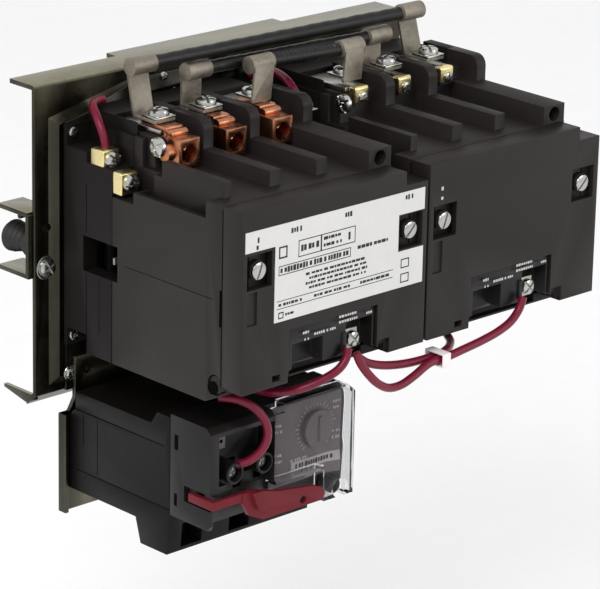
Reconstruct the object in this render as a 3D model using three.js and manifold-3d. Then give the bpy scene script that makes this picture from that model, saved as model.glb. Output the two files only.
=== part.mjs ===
// Reversing magnetic motor starter: two three-pole contactors side by side on one formed
// steel back plate, joined by crossed line jumpers, with a solid-state overload relay hung
// below the left contactor and a mechanical interlock behind the plate.
//
// Frame: millimetres, +X to the right, +Y back into the panel, +Z up. The rear edge of the
// back plate's top flange rests on the panel at Y = 0, and Z = 0 is the middle of that edge.
// Inside a unit, a place is given as x from the unit's left side, `depth` forward from the
// back plate's front face, and z.

import * as THREE from 'three';
import { mergeVertices } from 'three/addons/utils/BufferGeometryUtils.js';
import Module from 'manifold-3d';

const wasm = await Module();
wasm.setup();

// ---------------------------------------------------------------- driving dimensions

const GAP = 0.3;                 // air left between pieces that touch
const SHEET = 2;                 // thickness of the formed steel sheets

// Back plate
const PLATE_WIDTH = 220;
const PLATE_TOP = 1;
const PLATE_BOTTOM = -140.6;
const STAND_OFF = 23.5;          // plate's front face to the panel
const FLANGE_REACH = 17;         // top flange, from the plate's front face
const TONGUE_WIDTH = 100;        // stretch of the flange that reaches the panel
const PAN_RAISE = 2.5;           // how far the embossed pan stands forward
const PAN_SLOPE = 4;             // width of the embossed step

// Contactor
const UNIT_WIDTH = 108;
const UNIT_PITCH = 109.2;
const LEFT_X = -97.8;            // left side of the left contactor
const UNIT_BOTTOM = -117.5;
const SHEET_FRONT = 4.3;         // front of the contactor sheet
const BASE_FRONT = 37.2;         // parting line between rear base and contact housing
const HOUSING_FRONT = 107.9;     // parting line between contact housing and front cover
const COVER_FRONT = 120;
const DECK_Z = -29.4;            // top deck and top of the front cover
const LOW_TOP_Z = -35.6;         // lowered top right corner
const LOW_TOP_X = 94.8;
const RIB_Z = -22.5;             // top of the ribs between the poles
const BARRIER_Z = -9.6;          // top of the barriers between the line terminals
const PAD_Z = -13.5;             // top of the line terminal pads
const LOAD_PAD_Z = -121.6;       // underside of the load terminal pads
const POLES = [23.5, 50.5, 77.5];
const BARRIERS = [37, 64];
const CARRIAGE_TRAVEL = 5;

// Overload relay, in the left contactor's unit frame
const RELAY_LEFT = 3;
const RELAY_RIGHT = 87;
const RELAY_SEAM = 72.8;         // parting line between the relay's rear and front housings
const RELAY_FRONT = 99.5;
const RELAY_TOP = -131.3;
const DIAL_X = 69.5;
const DIAL_Z = -147.6;

// Wires and jumpers
const WIRE_RADIUS = 1.9;
const STRAP_WIDTH = 11;
const STRAP_THICK = 1.4;
const ROLL_RADIUS = 4;
const BAR_RADIUS = 2.7;

// ---------------------------------------------------------------- solid helpers

function toSolid(geometry) {
  const bare = geometry.index ? geometry.toNonIndexed() : geometry.clone();
  bare.deleteAttribute('normal');
  bare.deleteAttribute('uv');
  const merged = mergeVertices(bare, 1e-4);
  return new wasm.Manifold(new wasm.Mesh({
    numProp: 3,
    vertProperties: new Float32Array(merged.attributes.position.array),
    triVerts: new Uint32Array(merged.index.array),
  }));
}

function toGeometry(manifold) {
  const mesh = manifold.getMesh();
  const geometry = new THREE.BufferGeometry();
  const positions = new Float32Array(mesh.numVert * 3);
  for (let i = 0; i < mesh.numVert; i += 1) {
    for (let k = 0; k < 3; k += 1) {
      positions[3 * i + k] = mesh.vertProperties[mesh.numProp * i + k];
    }
  }
  geometry.setAttribute('position', new THREE.BufferAttribute(positions, 3));
  geometry.setIndex(Array.from(mesh.triVerts));
  geometry.computeVertexNormals();
  return geometry;
}

// A box from x0 to x1, from depth d0 to d1 and from z0 to z1.
function block(x0, x1, d0, d1, z0, z1) {
  const geometry = new THREE.BoxGeometry(x1 - x0, d1 - d0, z1 - z0);
  geometry.translate((x0 + x1) / 2, -(d0 + d1) / 2, (z0 + z1) / 2);
  return toSolid(geometry);
}

function shapeOf(points) {
  return new THREE.Shape(points.map(([a, b]) => new THREE.Vector2(a, b)));
}

// An outline of [x, z] points, extruded from depth d0 to d1.
function frontPrism(points, d0, d1, bevel = null) {
  const options = bevel || { bevelEnabled: false };
  const geometry = new THREE.ExtrudeGeometry(shapeOf(points), { depth: d1 - d0, ...options });
  geometry.rotateX(Math.PI / 2);
  geometry.translate(0, -d0, 0);
  return toSolid(geometry);
}

// An outline of [depth, z] points, extruded from x0 to x1.
function sidePrism(points, x0, x1) {
  const outline = points.map(([depth, z]) => [-depth, z]);
  const geometry = new THREE.ExtrudeGeometry(shapeOf(outline), { depth: x1 - x0, bevelEnabled: false });
  geometry.applyMatrix4(new THREE.Matrix4().makeBasis(
    new THREE.Vector3(0, 1, 0),
    new THREE.Vector3(0, 0, 1),
    new THREE.Vector3(1, 0, 0),
  ));
  geometry.translate(x0, 0, 0);
  return toSolid(geometry);
}

// A round bar between two points given as [x, depth, z].
function rod(radius, from, to, segments = 20, endRadius = radius) {
  const start = new THREE.Vector3(from[0], -from[1], from[2]);
  const end = new THREE.Vector3(to[0], -to[1], to[2]);
  const along = end.clone().sub(start);
  const geometry = new THREE.CylinderGeometry(endRadius, radius, along.length(), segments);
  const turn = new THREE.Quaternion().setFromUnitVectors(
    new THREE.Vector3(0, 1, 0), along.clone().normalize());
  geometry.applyQuaternion(turn);
  const middle = start.add(end).multiplyScalar(0.5);
  geometry.translate(middle.x, middle.y, middle.z);
  return toSolid(geometry);
}

// A turned piece: [radius, height] profile about an axis along depth through [x, z].
function turned(profile, x, z, segments = 24) {
  const geometry = new THREE.LatheGeometry(
    profile.map(([radius, height]) => new THREE.Vector2(radius, height)), segments);
  geometry.rotateX(Math.PI);
  geometry.translate(x, 0, z);
  return toSolid(geometry);
}

function arcPoints(cx, cy, radius, fromDegrees, toDegrees, steps) {
  const points = [];
  for (let i = 0; i <= steps; i += 1) {
    const angle = THREE.MathUtils.degToRad(fromDegrees + (toDegrees - fromDegrees) * i / steps);
    points.push([cx + radius * Math.cos(angle), cy + radius * Math.sin(angle)]);
  }
  return points;
}

// A wire of 8 sides along a smooth curve through points given as [x, depth, z].
function wireSolid(points, steps) {
  const curve = new THREE.CatmullRomCurve3(
    points.map(([x, depth, z]) => new THREE.Vector3(x, -depth, z)), false, 'centripetal');
  const section = new THREE.Shape();
  for (let i = 0; i < 8; i += 1) {
    const angle = Math.PI * 2 * i / 8;
    const x = WIRE_RADIUS * Math.cos(angle);
    const y = WIRE_RADIUS * Math.sin(angle);
    if (i === 0) section.moveTo(x, y);
    else section.lineTo(x, y);
  }
  return toSolid(new THREE.ExtrudeGeometry(section, { steps, extrudePath: curve, bevelEnabled: false }));
}

function join(...solids) {
  return solids.reduce((all, one) => all.add(one));
}

function cut(body, ...tools) {
  return tools.reduce((all, one) => all.subtract(one), body);
}

// ---------------------------------------------------------------- materials

const finishes = {
  zinc: { color: 0xb9b7a6, roughness: 0.35, metalness: 0.9 },
  steel: { color: 0x9a9a9c, roughness: 0.4, metalness: 0.9 },
  blackPlastic: { color: 0x232122, roughness: 0.5, metalness: 0 },
  blackGloss: { color: 0x1b191a, roughness: 0.3, metalness: 0 },
  coilPlastic: { color: 0x1d1c1c, roughness: 0.45, metalness: 0 },
  laminations: { color: 0x5d5f63, roughness: 0.45, metalness: 0.85 },
  tinned: { color: 0xb4ab99, roughness: 0.6, metalness: 0.6 },
  silver: { color: 0xc9c9cb, roughness: 0.3, metalness: 0.95 },
  copper: { color: 0xb5683f, roughness: 0.3, metalness: 0.95 },
  brass: { color: 0xd9c27a, roughness: 0.3, metalness: 0.9 },
  label: { color: 0xf2f2f0, roughness: 0.6, metalness: 0 },
  clear: { color: 0xdfe4e6, roughness: 0.1, metalness: 0 },
  greyPanel: { color: 0x77777b, roughness: 0.5, metalness: 0 },
  resetRed: { color: 0x8a1f2d, roughness: 0.45, metalness: 0 },
  wireRed: { color: 0x8e1238, roughness: 0.3, metalness: 0 },
  white: { color: 0xe8e4e0, roughness: 0.6, metalness: 0 },
};

function piece(parent, name, solid, finish) {
  const mesh = new THREE.Mesh(toGeometry(solid), new THREE.MeshStandardMaterial(finishes[finish]));
  mesh.name = name;
  parent.add(mesh);
  return mesh;
}

// ---------------------------------------------------------------- back plate and sheet

function panOutline(inset) {
  const side = PLATE_WIDTH / 2 - 7.5 - inset;
  const shoulder = PLATE_WIDTH / 2 - 52;
  const top = -5 - inset;
  const corner = -13.7 - inset;
  const bottom = PLATE_BOTTOM + 3.5 + inset;
  return [
    [-side, bottom], [side, bottom], [side, corner], [shoulder, top], [-shoulder, top], [-side, corner],
  ];
}

function backPlate(parent) {
  const half = PLATE_WIDTH / 2;
  const rear = -STAND_OFF;
  const section = [
    [-FLANGE_REACH, PLATE_TOP], [-FLANGE_REACH, PLATE_TOP - SHEET], [-SHEET, PLATE_TOP - SHEET],
    [-SHEET, PLATE_BOTTOM + 1], [-7.3, PLATE_BOTTOM - 3.6], [-6.3, PLATE_BOTTOM - 5.3],
    [0, PLATE_BOTTOM], [0, PLATE_TOP - 1.2], [-0.5, PLATE_TOP - 0.4], [-1.6, PLATE_TOP],
  ];
  const web = sidePrism(section, -half, half);
  const tongue = block(-TONGUE_WIDTH / 2, TONGUE_WIDTH / 2, rear, -FLANGE_REACH + 1, PLATE_TOP - SHEET, PLATE_TOP);
  const gusset = [[-1, PLATE_BOTTOM], [-1, PLATE_BOTTOM - 2], [-6.8, PLATE_BOTTOM - 4.6],
    [-22.3, PLATE_BOTTOM - 1.4], [-22.3, PLATE_BOTTOM]];
  const gussets = join(sidePrism(gusset, -half, -half + SHEET), sidePrism(gusset, half - SHEET, half));
  const slope = { bevelEnabled: true, bevelThickness: PAN_RAISE, bevelSize: PAN_SLOPE, bevelSegments: 1 };
  const raised = frontPrism(panOutline(PAN_SLOPE), -SHEET + 0.2, 0, slope);
  const front = raised.intersect(block(-half, half, -0.2, PAN_RAISE + 1, PLATE_BOTTOM, PLATE_TOP));
  const hollow = raised.translate([0, SHEET, 0]);
  let plate = cut(join(web, tongue, gussets, front), hollow.intersect(
    block(-half + 3, half - 3, -SHEET - 2, PAN_RAISE, PLATE_BOTTOM + 1.2, PLATE_TOP - SHEET - 0.2)));
  for (const side of [-1, 1]) {
    plate = plate.subtract(rod(2.2, [side * 103.8, -4, -63.7], [side * 103.8, 4, -63.7]));
    plate = plate.subtract(rod(2.6, [side * 103.6, -4, -82], [side * 103.6, 4, -82]));
    plate = plate.subtract(rod(2.6, [side * 34, -4, -14], [side * 34, 8, -14]));
  }
  for (const x of [LEFT_X + 54, LEFT_X + UNIT_PITCH + 54]) {
    plate = plate.subtract(rod(4.2, [x, -4, -72], [x, 8, -72]));
  }
  piece(parent, 'back_plate', plate, 'zinc');
}

function contactorSheet(parent) {
  const outline = [
    [-96.2, -139.7], [96.2, -139.7], [96.2, -16.6], [83.3, -14.3], [81.5, -12], [56.4, -4.8],
    [-56.4, -4.8], [-81.5, -12], [-83.3, -14.3], [-96.2, -16.6],
  ];
  let sheet = frontPrism(outline, PAN_RAISE + GAP, SHEET_FRONT);
  for (const side of [-1, 1]) {
    sheet = sheet.subtract(rod(2.6, [side * 34, 2, -14], [side * 34, 5, -14]));
  }
  for (const x of [LEFT_X + 54, LEFT_X + UNIT_PITCH + 54]) {
    sheet = sheet.subtract(rod(4.2, [x, 2, -72], [x, 5, -72]));
  }
  piece(parent, 'contactor_sheet', sheet, 'zinc');
}

// ---------------------------------------------------------------- interlock behind the plate

function interlock(parent) {
  const outer = -PLATE_WIDTH / 2 - 2;
  const web = block(outer, -92, -SHEET - GAP - SHEET, -SHEET - GAP, -86.4, -57.3);
  const reach = -STAND_OFF + 0.2;
  const fins = [-58.3, -86.4].map((z) => block(outer, -98, reach, -SHEET - GAP - 1, z, z + SHEET));
  const nib = rod(1.2, [outer + 1.2, -10, -59.4], [outer + 5, -10, -59.4]);
  const hole = rod(2.6, [-103.6, -6, -82], [-103.6, -2, -82]);
  piece(parent, 'interlock_bracket', cut(join(web, ...fins, nib), hole), 'zinc');

  const boot = [
    [0, -23], [3.2, -22.8], [6, -21.8], [7.4, -19.8], [6.1, -18.4], [7.1, -17.2], [5.4, -16], [6.4, -14.8],
    [5, -13.6], [5.9, -12.4], [4.4, -11], [4.6, -9.2], [6.9, -7], [5.6, -4.8], [0, -4.8],
  ];
  piece(parent, 'interlock_boot', turned(boot, -105.5, -71.5), 'blackPlastic');

  const mid = LEFT_X + (UNIT_PITCH + UNIT_WIDTH) / 2;
  const reachOut = UNIT_PITCH / 2;
  const bar = block(mid - reachOut, mid + reachOut, -12.2, -9.8, -76, -68);
  const ends = [-1, 1].map((side) => rod(7,
    [mid + side * reachOut, -12.2, -72], [mid + side * reachOut, -9.8, -72]));
  const hub = rod(5, [mid, -11, -80], [mid, -11, -64]);
  const bore = rod(2.7, [mid, -11, -81], [mid, -11, -63]);
  piece(parent, 'interlock_rocker', cut(join(bar, ...ends, hub), bore), 'steel');

  const foot = block(mid - 9, mid + 9, -4.1, -2.3, -92, -52);
  const ears = [[-92, -90], [-54, -52]].map(([z0, z1]) => block(mid - 6, mid + 6, -15, -3, z0, z1));
  const pin = rod(2.4, [mid, -11, -91], [mid, -11, -53]);
  piece(parent, 'rocker_pivot', join(foot, ...ears, pin), 'zinc');
}

// ---------------------------------------------------------------- contactor

function rearBase(unit, name) {
  const outline = [
    [0, UNIT_BOTTOM], [UNIT_WIDTH, UNIT_BOTTOM], [UNIT_WIDTH, -26], [94, -26], [94, -11.5],
    [14, -11.5], [14, -26], [0, -26],
  ];
  const back = SHEET_FRONT + GAP;
  const front = BASE_FRONT - GAP / 2;
  let body = frontPrism(outline, back, front);
  const cavity = block(8, UNIT_WIDTH - 8, 8.2, BASE_FRONT + 1, -108.5, -33);
  body = cut(body, cavity, block(14.5, 93.5, 21, 40, -15.8, 0));
  for (const x of [-1, UNIT_WIDTH - 13]) {
    body = body.subtract(block(x, x + 14, 6.5, 20, -118.5, -108.9));
    body = body.subtract(block(x, x + 14, 20, 40, -30.5, 0));
  }
  for (const x of [2.4, UNIT_WIDTH - 2.4]) {
    body = body.add(block(x < 50 ? 0 : 94.2, x < 50 ? 13.8 : UNIT_WIDTH, back, 6.4, -30, -17));
    for (const z of [-20.6, -113.4]) {
      body = body.subtract(rod(1.7, [x + (x < 50 ? 1.4 : -1.4), 3, z], [x + (x < 50 ? 1.4 : -1.4), 9, z], 14));
    }
  }
  const barriers = [12.6, ...BARRIERS, 95.4].map((x) => block(x - 2.6, x + 2.6, 21.5, front, -20, BARRIER_Z));
  body = join(body, ...barriers.slice(1));
  body = body.add(block(12, 14.6, 20, front, -34, -17));
  const window = block(-1, 9, 17.8, 41, -79.8, -63.8);
  const mirrored = block(UNIT_WIDTH - 9, UNIT_WIDTH + 1, 17.8, 41, -79.8, -63.8);
  body = cut(body, window, mirrored, rod(3.4, [54, 0, -72], [54, 9, -72]));
  for (const x of POLES) {
    body = body.subtract(block(x - 4.4, x + 4.4, 21, 25.6, -40, -10));
    body = body.subtract(block(x - 4.4, x + 4.4, 8.4, 12, -119, -100));
  }
  piece(unit, `${name}_rear_base`, body, 'blackPlastic');
}

function contactHousing(unit, name) {
  const back = BASE_FRONT + GAP / 2;
  const front = HOUSING_FRONT - GAP / 2;
  const outline = [
    [back, UNIT_BOTTOM], [98.1, UNIT_BOTTOM], [front, -112.9], [front, DECK_Z], [back, DECK_Z],
  ];
  let body = sidePrism(outline, 0, UNIT_WIDTH);
  // Terminal shelf, barriers and the ribs between the poles.
  const terminalShelf = block(14.8, 93.2, back, 48, -30, -15.8);
  const barrierSide = [
    [back, -31], [57, -31], [57, -15], ...arcPoints(50.6, -14.6, 5, 0, 90, 5).map(([d, z]) => [d + 1.4, z]),
    [back, BARRIER_Z],
  ];
  const barriers = [...BARRIERS, 95.4].map((x) => sidePrism(barrierSide, x - 2.8, x + 2.8));
  const ribs = BARRIERS.map((x) => block(x - 3.1, x + 3.1, 48, 99.3, -31, RIB_Z));
  const sideRib = block(8.2, 12.2, 60, 99.3, -32, RIB_Z);
  const headRib = block(83.7, 97, 48, front, -31, -21);
  const lowWall = block(12, 14.6, back, 43, -31, -17);
  body = join(body, terminalShelf, ...barriers, ...ribs, sideRib, headRib, lowWall);
  // Steps for the auxiliary terminals and the trough along the left side.
  body = cut(
    body,
    block(-1, 8.2, 30, 51, -42, 0),
    block(8.1, 11.9, 30, 55, -42, 0),
    block(-1, 8.2, 51, 97.2, -36.8, 0),
    block(2.6, 8.2, 53, 97.2, -48, 0),
    block(LOW_TOP_X + 2.4, UNIT_WIDTH + 1, 57, 112, LOW_TOP_Z, 0),
    block(98.4, UNIT_WIDTH + 1, 30, 60, LOW_TOP_Z, 0),
    rod(3.4, [90.4, 102, -25.2], [90.4, 110, -25.2], 16),
  );
  // Hollow for the magnet, the carriage and the contacts.
  body = body.subtract(block(8, UNIT_WIDTH - 8, 30, 112, -108.5, -54));
  for (const x of POLES) {
    body = body.subtract(block(x - 6.5, x + 6.5, 30, 104, -60, -34.2));
  }
  body = body.subtract(block(8, UNIT_WIDTH - 8, 89, 112, -60, -37));
  body = body.subtract(block(24, 82, 104, 112, -112, -100));
  body = cut(body,
    block(-1, 9, 30, 40.8, -79.8, -63.8),
    block(UNIT_WIDTH - 9, UNIT_WIDTH + 1, 30, 40.8, -79.8, -63.8),
    block(-1, 2.2, HOUSING_FRONT - 1.4, 112, -82, -66),
    rod(4.6, [-1, 104.4, -108.6], [3, 104.4, -108.6], 20));
  const plug = rod(4, [0.6, 104.4, -108.6], [4, 104.4, -108.6], 20);
  body = body.add(plug.intersect(block(0, 5, 100, front, -114, -104)));
  piece(unit, `${name}_contact_housing`, body, 'blackPlastic');
}

function frontCover(unit, name) {
  const back = HOUSING_FRONT + GAP / 2;
  const outline = [
    [0.9, -109.6], [27.2, -109.6], [27.2, -105.4], [86, -105.4], [86, -109.6], [UNIT_WIDTH, -109.6],
    [UNIT_WIDTH, LOW_TOP_Z], [LOW_TOP_X, LOW_TOP_Z], [LOW_TOP_X, DECK_Z], [0, DECK_Z], [0, -108],
  ];
  let body = frontPrism(outline, back, COVER_FRONT);
  body = body.subtract(block(7, UNIT_WIDTH - 7, 100, 116.6, -84, -39));
  body = body.subtract(block(27.6, 79.4, 100, 122, -106.5, -86));
  body = body.subtract(block(80.4, 87, 117.6, 122, -109, -102.6));
  body = body.subtract(block(18.2, 22.6, 113, 122, -107.4, -104.6));
  for (const x of [2.9, 91]) {
    body = body.subtract(block(x, x + 14.1, 116, 122, -63.9, -48.7));
    body = body.add(block(x - 0.8, x + 14.9, 108.2, 116, -64.8, -47.8));
  }
  body = body.subtract(block(3.3, 8.8, 118.8, 122, -79.5, -65));
  const screws = [9.9, 98.1].map((x) => rod(4.3, [x, 115.8, -56.2], [x, 118.9, -56.2], 18));
  body = join(body, ...screws);
  piece(unit, `${name}_front_cover`, body, 'blackPlastic');
}

function magnet(unit, name) {
  const yoke = block(24, 84, 13, 22, -97, -67);
  const legs = [[24, 34], [48, 60], [74, 84]].map(([x0, x1]) => block(x0, x1, 21, 60.7, -97, -67));
  piece(unit, `${name}_magnet_core`, join(yoke, ...legs), 'laminations');

  const winding = block(35, 73, 23, 58, -104, -60.6);
  const bore = block(47.5, 60.5, 22, 60, -97.5, -66.5);
  const tongue = block(29, 78, 30, 118.4, -104.6, -101.2);
  const face = block(28, 79, 108.4, 118.6, -105, -86.4);
  const leftPocket = block(30.5, 48.5, 110.5, 122, -110, -93.6);
  const rightPocket = block(62, 77.6, 110.5, 122, -110, -90.6);
  const pocketFloor = block(29.4, 50, 108.4, 111, -106.2, -92);
  const floor = block(61, 78.4, 108.4, 111, -106.2, -90);
  const coil = join(cut(join(winding, tongue, face), bore, leftPocket, rightPocket), pocketFloor, floor);
  const screw = rod(4, [66.8, 110, -99.6], [66.8, 116.4, -99.6], 18);
  const pin = block(59.4, 61.6, 113, 119.6, -103.4, -94.6);
  piece(unit, `${name}_coil`, join(coil, screw, pin), 'coilPlastic');
}

function carriage(unit, name) {
  const bar = block(24, 84, 66, 74.3, -97, -67);
  piece(unit, `${name}_armature`, bar, 'laminations');

  const body = block(30, 78, 74.6, 99, -97, -61);
  const neck = block(30, 78, 95, 99, -62, -44);
  const crossbar = block(9.5, 98.5, 94.8, 99, -52, -41);
  const windowed = cut(join(body, neck, crossbar), block(38, 70, 80, 94, -100, -58));
  piece(unit, `${name}_contact_carrier`, windowed, 'coilPlastic');

  POLES.forEach((x, index) => {
    const bridge = block(x - 4, x + 4, 92.2, 94.5, -58.5, -35.4);
    const tips = [-38, -56].map((z) => rod(3, [x, 90.6, z], [x, 92.6, z], 14));
    piece(unit, `${name}_moving_contact_${index + 1}`, join(bridge, ...tips), 'silver');
  });
}

function terminals(unit, name) {
  POLES.forEach((x, index) => {
    const pad = block(x - 5.6, x + 5.6, 22, 47.4, PAD_Z - 2, PAD_Z);
    const riser = block(x - 4, x + 4, 22, 24, -39, PAD_Z - 1);
    const run = block(x - 4, x + 4, 22, 84.6, -39, -37);
    const tip = rod(3, [x, 80, -38], [x, 85.3, -38], 14);
    const clamp = join(block(x - 3.9, x + 3.9, 48.4, 52.4, -21, PAD_Z),
      block(x - 3.9, x + 3.9, 47, 52.4, PAD_Z - 2, PAD_Z));
    const line = join(pad, riser, run, tip);
    piece(unit, `${name}_line_terminal_${index + 1}`, name === 'right' ? join(line, clamp) : line, 'silver');

    const loadPad = block(x - 5.6, x + 5.6, 9, 34, LOAD_PAD_Z, LOAD_PAD_Z + 2);
    const loadRiser = block(x - 4, x + 4, 9, 11, LOAD_PAD_Z + 1, -55);
    const loadRun = block(x - 4, x + 4, 9, 84.6, -57, -55);
    const loadTip = rod(3, [x, 80, -56], [x, 85.3, -56], 14);
    piece(unit, `${name}_load_terminal_${index + 1}`, join(loadPad, loadRiser, loadRun, loadTip), 'silver');
  });
}

function contactor(parent, name, x) {
  const unit = new THREE.Group();
  unit.position.set(x, -STAND_OFF, 0);
  parent.add(unit);
  rearBase(unit, name);
  contactHousing(unit, name);
  frontCover(unit, name);
  magnet(unit, name);
  carriage(unit, name);
  terminals(unit, name);
  return unit;
}

// Copper box lug: a square collar open to the front, with its tang rolled over the top.
function boxLug(unit, index) {
  const x = POLES[index];
  const collar = block(x - 5.8, x + 5.8, 48.4, 60, -27.6, -15.4);
  const bore = rod(4.1, [x, 50, -21.8], [x, 62, -21.8], 20);
  const tang = block(x - 4.6, x + 4.6, 34, 50, PAD_Z + GAP, PAD_Z + 1.7);
  const bridge = block(x - 4.6, x + 4.6, 48.4, 50.2, -16, PAD_Z + 1.7);
  const roll = rod(1.8, [x - 4.6, 52.2, -14.4], [x + 4.6, 52.2, -14.4], 14);
  const lip = block(x - 4.6, x + 4.6, 49, 52.4, -14.4, -12.6);
  const lug = join(cut(collar, bore), tang, bridge, roll, lip);
  const clamp = rod(3.6, [x - 9.6, 54.4, -21.4], [x - 5, 54.4, -21.4], 18);
  piece(unit, `line_lug_${index + 1}`, index === 0 ? join(lug, clamp) : lug, 'copper');
}

// ---------------------------------------------------------------- line jumpers

// A tinned strap whose top is rolled round the end of the crossing bar. The leg stands at
// `depth`, its foot runs forward by `footReach`, and its roll lies `rollAhead` in front of it.
function strapLeg(x, depth, footZ, end, rollAhead, footReach) {
  const half = STRAP_WIDTH / 2;
  const topX = x + end.lean;
  const outline = [[x - half, footZ], [x + half, footZ], [topX + half, end.topZ], [topX - half, end.topZ]];
  const leg = frontPrism(outline, depth - STRAP_THICK / 2, depth + STRAP_THICK / 2);
  const foot = block(x - half, x + half, depth - STRAP_THICK / 2, depth + footReach, footZ,
    footZ + STRAP_THICK);
  const roll = rod(ROLL_RADIUS, [topX - half - 1, depth + rollAhead, end.topZ],
    [topX + half + 1, depth + rollAhead, end.topZ], 18);
  return join(leg, foot, roll);
}

function lineJumper(parent, name, depth, left, right, rollAhead, footZ, footReach) {
  const legs = [left, right].map((end) => strapLeg(end.pole, depth, footZ, end, rollAhead, footReach));
  const centre = depth + rollAhead;
  const bar = rod(BAR_RADIUS, [left.pole + left.lean, centre, left.topZ],
    [right.pole + right.lean, centre, right.topZ], 12);
  piece(parent, name, join(...legs, bar), 'tinned');
}

// ---------------------------------------------------------------- overload relay

function relayPlate(unit) {
  const lower = block(0, 86, 0.6, 2.6, -197.8, -150.8);
  const edge = block(0, 2, 0.6, 5.6, -197.8, -150.8);
  const joggle = sidePrism([
    [0.6, -152], [2.6, -152], [6.7, -143], [6.7, -124], [4.7, -124], [4.7, -143], [0.6, -151],
  ], 4.6, 80);
  const holes = [12, 72].map((x) => rod(2.6, [x, 4, -131], [x, 8, -131], 16));
  piece(unit, 'relay_mounting_plate', cut(join(lower, edge, joggle), ...holes), 'zinc');
}

function relayRear(unit) {
  const back = 2.9;
  const side = [
    [back, -186], [50, -186], [53.5, -197.5], [71, -197.5], [RELAY_SEAM - GAP / 2, -178],
    [RELAY_SEAM - GAP / 2, -133], [64, -133], [60, -139], [9, -139], [9, -147], [back, -153.2],
  ];
  let body = sidePrism(side, RELAY_LEFT, RELAY_RIGHT);
  body = body.subtract(block(RELAY_LEFT - 1, RELAY_LEFT + 0.4, back - 1, 69, -147.5, -147));
  body = body.subtract(block(RELAY_LEFT - 1, RELAY_LEFT + 0.4, back - 1, 75, -176, -175.5));
  for (let i = 0; i < 3; i += 1) {
    const x = RELAY_LEFT + 14 + 28 * i;
    body = body.subtract(block(x - 6, x + 6, 60, 75, -195.8, -184.5));
  }
  body = body.subtract(block(RELAY_LEFT + 6, RELAY_RIGHT - 6, 20, 75, -170, -142));
  piece(unit, 'relay_rear_housing', body, 'blackPlastic');
}

function relayFront(unit) {
  const back = RELAY_SEAM + GAP / 2;
  const side = [[back, -178], [97.5, -178], [98.8, -176], [98.8, -134], [96, RELAY_TOP], [back, RELAY_TOP]];
  let body = sidePrism(side, RELAY_LEFT, 40.3);
  const right = block(39.4, RELAY_RIGHT, back, 91.4, -180, RELAY_TOP);
  body = join(body, right);
  body = cut(
    body,
    block(8, 40.2, 88, 101, -158.5, -136),
    block(12.5, 40.2, 92, 101, -169, -158),
    block(5, 40.2, 92, 101, -169, -162.8),
    block(22, 27, 84, 96, -165, -152),
    block(34, 38.6, 84, 96, -163, -150),
    block(RELAY_LEFT - 1, 6, 82, 101, -168.8, -161.6),
    block(5, 101, 91.5, 101, -180, -164.8),
    block(RELAY_LEFT + 5, RELAY_RIGHT - 5, back - 1, 84, -170, -138),
    block(74.6, 84.6, 80, 92, -182, -172.6),
  );
  body = body.subtract(rod(3.4, [DIAL_X, 86, DIAL_Z], [DIAL_X, 93, DIAL_Z], 16));
  piece(unit, 'relay_front_housing', body, 'blackPlastic');
}

function relayControls(unit) {
  const face = block(43, 84.6, 91.7, 92.5, -171, -133.5);
  const faceHole = rod(3.4, [DIAL_X, 90, DIAL_Z], [DIAL_X, 94, DIAL_Z], 16);
  piece(unit, 'relay_face_panel', face.subtract(faceHole), 'greyPanel');

  const stem = rod(3.1, [DIAL_X, 88, DIAL_Z], [DIAL_X, 94, DIAL_Z], 16);
  const knob = rod(8.4, [DIAL_X, 92.8, DIAL_Z], [DIAL_X, 95.4, DIAL_Z], 28);
  const pointer = block(DIAL_X - 0.9, DIAL_X + 0.9, 95, 96.4, DIAL_Z - 5.8, DIAL_Z + 5.8);
  piece(unit, 'current_dial', join(stem, knob, pointer), 'greyPanel');

  const button = rod(3.9, [79.6, 84.6, -177.2], [79.6, 95.6, -177.2], 20);
  piece(unit, 'test_button', button, 'blackGloss');

  const leverFace = [
    [19, -163.6], [24.5, -163.4], [40, -167.6], [60, -170.3], [66, -172.4], [68, -175.4], [66.6, -178.4],
    [31, -178.4], [23, -174.6], [19, -168],
  ];
  const plate = frontPrism(leverFace, 99.6, 102.2);
  const arm = block(2, 20.5, 99.6, 101.6, -167.4, -163.6);
  const tongue = block(2, 4.6, 86, 101, -167.4, -163.6);
  const rib = frontPrism([[22.4, -163.4], [27.6, -163.8], [31.4, -172.8], [26.4, -172.4]], 101.9, 105);
  const hole = rod(1.9, [54.6, 98, -175.2], [54.6, 104, -175.2], 16);
  piece(unit, 'reset_lever', cut(join(plate, arm, tongue, rib), hole), 'resetRed');

  const outline = [
    [40.6, -166], [40.6, -132.4], [45.3, -132.4], [45.3, -129], [83, -129], [87.4, -133], [87.4, -181],
    [69.6, -181], [69.6, -166],
  ];
  const inner = [
    [42, -164.6], [42, -133.8], [46.7, -133.8], [46.7, -130.4], [82.4, -130.4], [86, -133.6], [86, -179.6],
    [71, -179.6], [71, -164.6],
  ];
  const shell = frontPrism(outline, 93, RELAY_FRONT).subtract(frontPrism(inner, 90, RELAY_FRONT - 1.4));
  const buttonHole = rod(4.6, [79.6, 90, -177.2], [79.6, 101, -177.2], 20);
  const clearance = block(70.9, 86.1, 90, 94, -182, -179);
  const opened = cut(shell, buttonHole, clearance);
  piece(unit, 'relay_clear_cover', opened, 'clear');
}

// ---------------------------------------------------------------- label and wires

function ratingLabel(unit) {
  const outline = [
    [1.6, -47.2], [1.6, -38.2], [105.8, -38.2], [105.8, -48], [90.4, -48], [90.4, -64.6], [105.6, -64.6],
    [105.6, -81], [18.4, -81], [18.4, -47.2],
  ];
  piece(unit, 'rating_label', frontPrism(outline, COVER_FRONT + 0.05, COVER_FRONT + 0.35), 'label');
}

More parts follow.
